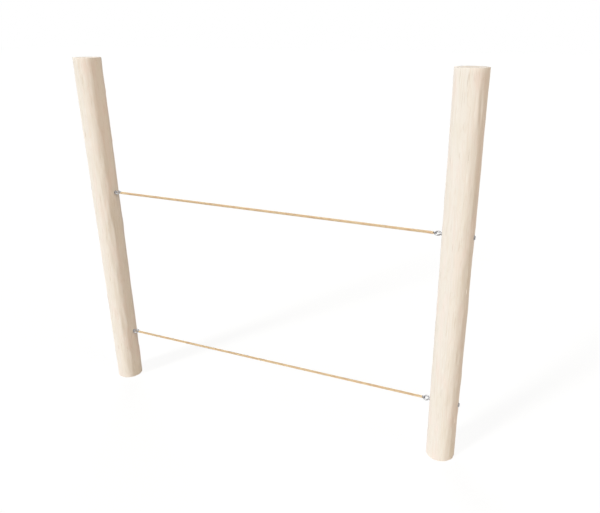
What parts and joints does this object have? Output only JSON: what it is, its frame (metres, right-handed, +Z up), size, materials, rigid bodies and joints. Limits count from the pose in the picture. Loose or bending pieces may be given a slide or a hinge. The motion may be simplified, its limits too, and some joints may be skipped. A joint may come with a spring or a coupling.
{
  "type": "rope traverse",
  "caption": "Climbing traverse of two round timber posts with a taut foot rope and hand rope held by through eye bolts.",
  "frame": {"origin": "on the ground, midway between the two posts", "axes": "+X along the ropes from the left post to the right post, +Y away from the picture's viewer, +Z up"},
  "size_m": [2.7136, 0.18, 2.4],
  "materials": {
    "timber": "peeled and turned pale softwood, untreated, fine straight grain",
    "stainless": "stainless steel, forged and tumbled satin",
    "rope_fibre": "hemp-coloured fibre strands, laid",
    "core_wire": "galvanised steel wire"
  },
  "bodies": {
    "frame": {"left_post": "timber", "right_post": "timber", "upper_left_eye_bolt": "stainless", "upper_right_eye_bolt": "stainless", "lower_left_eye_bolt": "stainless", "lower_right_eye_bolt": "stainless", "upper_left_inner_washer": "stainless", "upper_right_inner_washer": "stainless", "lower_left_inner_washer": "stainless", "lower_right_inner_washer": "stainless", "upper_left_outer_washer": "stainless", "upper_right_outer_washer": "stainless", "lower_left_outer_washer": "stainless", "lower_right_outer_washer": "stainless", "upper_left_nut": "stainless", "upper_right_nut": "stainless", "lower_left_nut": "stainless", "lower_right_nut": "stainless"},
    "hand_rope": {"upper_rope": "rope_fibre", "upper_rope_core": "core_wire", "upper_left_rope_terminal": "stainless", "upper_right_rope_terminal": "stainless"},
    "foot_rope": {"lower_rope": "rope_fibre", "lower_rope_core": "core_wire", "lower_left_rope_terminal": "stainless", "lower_right_rope_terminal": "stainless"}
  },
  "joints": [
    {"name": "hand_rope_twist", "type": "hinge", "parent": "frame", "child": "hand_rope", "pos_m": [0, 0, 1.495], "axis": [1, 0, 0], "range_deg": [-15, 15]},
    {"name": "foot_rope_twist", "type": "hinge", "parent": "frame", "child": "foot_rope", "pos_m": [0, 0, 0.39], "axis": [1, 0, 0], "range_deg": [-15, 15]}
  ]
}
